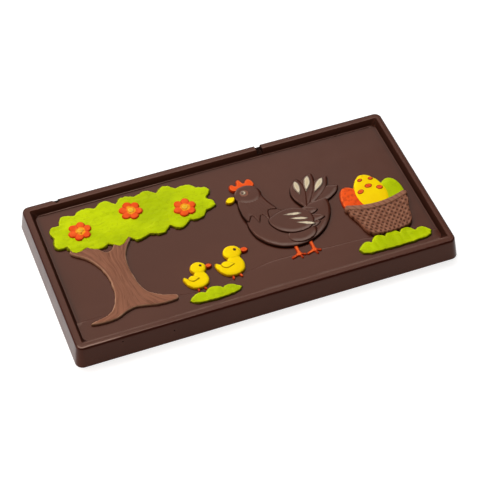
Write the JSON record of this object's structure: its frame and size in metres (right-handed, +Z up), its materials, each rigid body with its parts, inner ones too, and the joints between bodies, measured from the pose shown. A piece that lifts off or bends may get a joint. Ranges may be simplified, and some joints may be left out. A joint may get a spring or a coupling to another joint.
{
  "type": "dark chocolate bar",
  "caption": "Moulded dark chocolate bar with a raised rim and a picture in low relief, partly in coloured chocolate.",
  "frame": {"origin": "middle of the bar's flat back, on the surface it lies on", "axes": "+X along the bar, to the right for a viewer of the upright picture; +Y across it, to the picture's top; +Z up, out of the picture"},
  "size_m": [0.16, 0.08, 0.0096],
  "materials": {
    "dark_chocolate": "smooth moulded dark chocolate, satin gloss",
    "milk_chocolate": "milk chocolate with a satin sheen",
    "lime_chocolate": "lime coloured white chocolate, satin",
    "orange_chocolate": "orange coloured white chocolate, satin",
    "yellow_chocolate": "yellow coloured white chocolate, satin",
    "ivory_chocolate": "white chocolate, satin"
  },
  "bodies": {
    "root": {"bar": "dark_chocolate", "tree_trunk": "milk_chocolate", "tree_crown": "lime_chocolate", "blossom_1": "orange_chocolate", "blossom_2": "orange_chocolate", "blossom_3": "orange_chocolate", "hen_comb": "orange_chocolate", "wing_feather_1": "ivory_chocolate", "wing_feather_2": "ivory_chocolate", "wing_feather_3": "ivory_chocolate", "tail_feather_1": "ivory_chocolate", "tail_feather_2": "ivory_chocolate", "tail_feather_3": "ivory_chocolate", "chick_1": "yellow_chocolate", "chick_2": "yellow_chocolate", "basket": "milk_chocolate", "egg_middle": "yellow_chocolate", "egg_left": "orange_chocolate", "egg_right": "lime_chocolate", "grass_right": "lime_chocolate", "grass_left": "lime_chocolate"}
  },
  "joints": []
}
